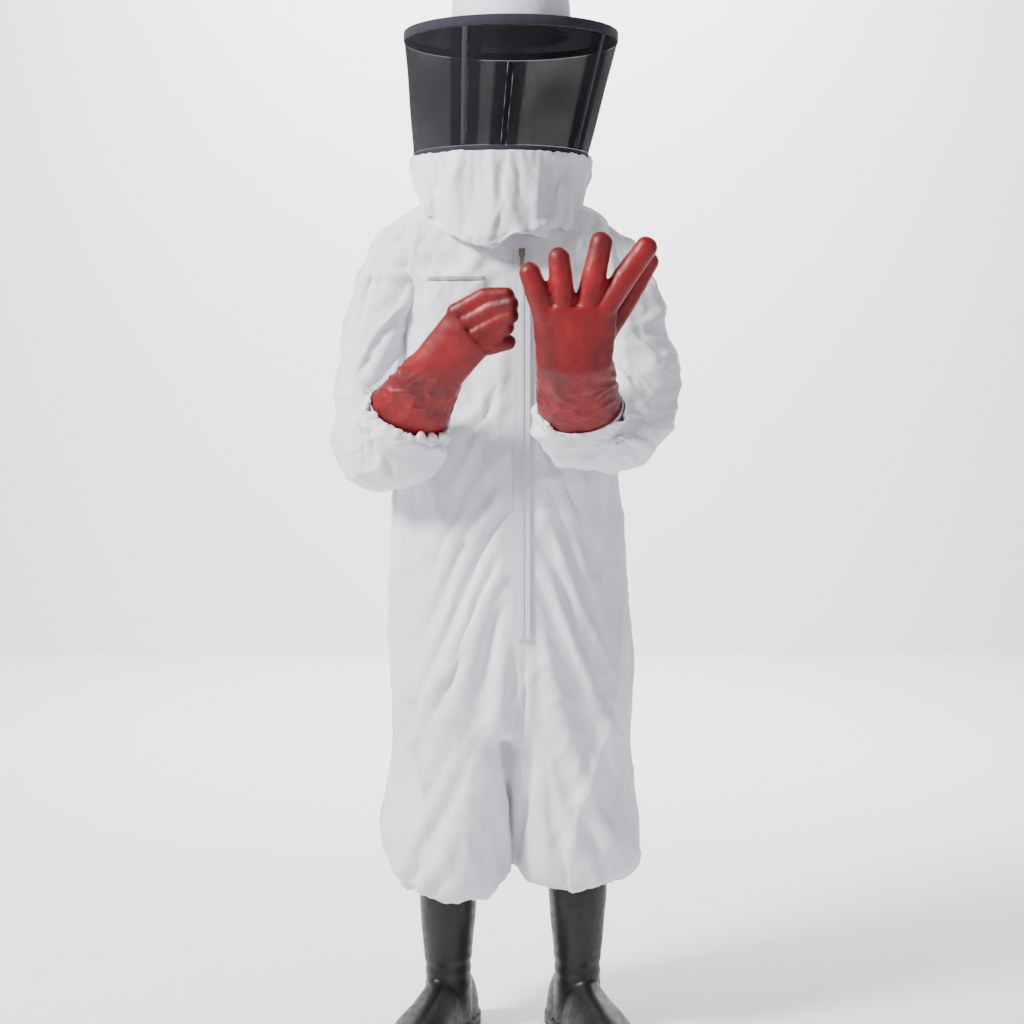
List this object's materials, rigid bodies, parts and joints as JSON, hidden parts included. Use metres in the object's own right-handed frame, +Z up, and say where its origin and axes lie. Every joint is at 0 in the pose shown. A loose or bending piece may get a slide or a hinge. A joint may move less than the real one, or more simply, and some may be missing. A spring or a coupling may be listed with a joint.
{
  "type": "beekeeping suit",
  "caption": "Beekeeping suit in its worn pose: zip-up cotton coverall, hat-and-veil hood that tilts back on its neck zip, gauntlet gloves and rubber boots.",
  "frame": {"origin": "middle of the bounding box's bottom face, on the floor under the boots", "axes": "+Z up, the front of the suit faces -Y, +X is the wearer's left"},
  "size_m": [0.5746, 0.6054, 1.8213],
  "materials": {
    "cotton_white": "matte woven cotton",
    "elastic": "matte ribbed elastic",
    "net_black": "matte net",
    "binding_navy": "matte tape",
    "straw_white": "stiff woven hat body",
    "zip_tape": "matte tape with teeth",
    "zip_metal": "aged metal",
    "rubber_red": "satin rubber",
    "flock_lining": "flocked lining",
    "rubber_black": "satin rubber",
    "insole_grey": "felt"
  },
  "bodies": {
    "coverall": {"torso_front_right": "cotton_white", "torso_front_left": "cotton_white", "torso_back": "cotton_white", "leg_right_front": "cotton_white", "leg_right_back": "cotton_white", "leg_left_front": "cotton_white", "leg_left_back": "cotton_white", "sleeve_right_upper": "cotton_white", "sleeve_right_lower": "cotton_white", "cuff_elastic_right": "elastic", "sleeve_left_upper": "cotton_white", "sleeve_left_lower": "cotton_white", "cuff_elastic_left": "elastic", "collar_stand": "cotton_white", "neck_zip_tape": "zip_tape", "front_zip_tape_right": "zip_tape", "front_zip_tape_left": "zip_tape", "chest_pocket": "cotton_white", "chest_pocket_zip": "zip_tape", "hem_elastic_right": "elastic", "hem_elastic_left": "elastic"},
    "hood": {"hood_zip_tape": "zip_tape", "hood_skirt": "cotton_white", "hat_crown": "straw_white", "hat_brim": "straw_white", "hat_sweatband": "cotton_white", "veil_top_panel": "net_black", "brim_binding": "binding_navy", "veil_front": "net_black", "veil_left": "net_black", "veil_right": "net_black", "veil_seam_front_right": "binding_navy", "veil_seam_front_left": "binding_navy", "veil_seam_rear": "binding_navy", "veil_bottom_hoop": "binding_navy"},
    "neck_slider_right": {"neck_zip_slider_right": "zip_metal"},
    "neck_slider_left": {"neck_zip_slider_left": "zip_metal"},
    "front_slider": {"front_zip_slider": "zip_metal"},
    "front_pull": {"front_zip_pull": "zip_metal"},
    "glove_right": {"glove_right_shell": "rubber_red", "glove_right_lining": "flock_lining"},
    "glove_left": {"glove_left_shell": "rubber_red", "glove_left_lining": "flock_lining"},
    "boot_right": {"boot_right_upper": "rubber_black", "boot_right_sole": "rubber_black", "boot_right_insole": "insole_grey"},
    "boot_left": {"boot_left_upper": "rubber_black", "boot_left_sole": "rubber_black", "boot_left_insole": "insole_grey"}
  },
  "joints": [
    {"name": "hood_tilt_back", "type": "hinge", "parent": "coverall", "child": "hood", "pos_m": [0.00068, 0.22334, 1.446], "axis": [-1, 0, 0], "range_deg": [0, 95]},
    {"name": "neck_zip_right", "type": "hinge", "parent": "coverall", "child": "neck_slider_right", "pos_m": [0.00068, 0.12284, 1.446], "axis": [0, 0, -1], "range_deg": [0, 130]},
    {"name": "neck_zip_left", "type": "hinge", "parent": "coverall", "child": "neck_slider_left", "pos_m": [0.00068, 0.12284, 1.446], "axis": [0, 0, 1], "range_deg": [0, 130]},
    {"name": "front_zip", "type": "slide", "parent": "coverall", "child": "front_slider", "axis": [0, -0.0478, -0.9989], "range_m": [0, 0.6]},
    {"name": "front_zip_pull_swing", "type": "hinge", "parent": "front_slider", "child": "front_pull", "pos_m": [0.03068, -0.01035, 1.34168], "axis": [-1, 0, 0], "range_deg": [0, 150]},
    {"name": "glove_right_off", "type": "slide", "parent": "coverall", "child": "glove_right", "axis": [0.4399, -0.6899, 0.5749], "range_m": [0, 0.06]},
    {"name": "glove_left_off", "type": "slide", "parent": "coverall", "child": "glove_left", "axis": [-0.1598, -0.7992, 0.5794], "range_m": [0, 0.25]},
    {"name": "boot_right_off", "type": "slide", "parent": "coverall", "child": "boot_right", "axis": [0, 0, -1], "range_m": [0, 0.14]},
    {"name": "boot_left_off", "type": "slide", "parent": "coverall", "child": "boot_left", "axis": [0, 0, -1], "range_m": [0, 0.14]}
  ]
}
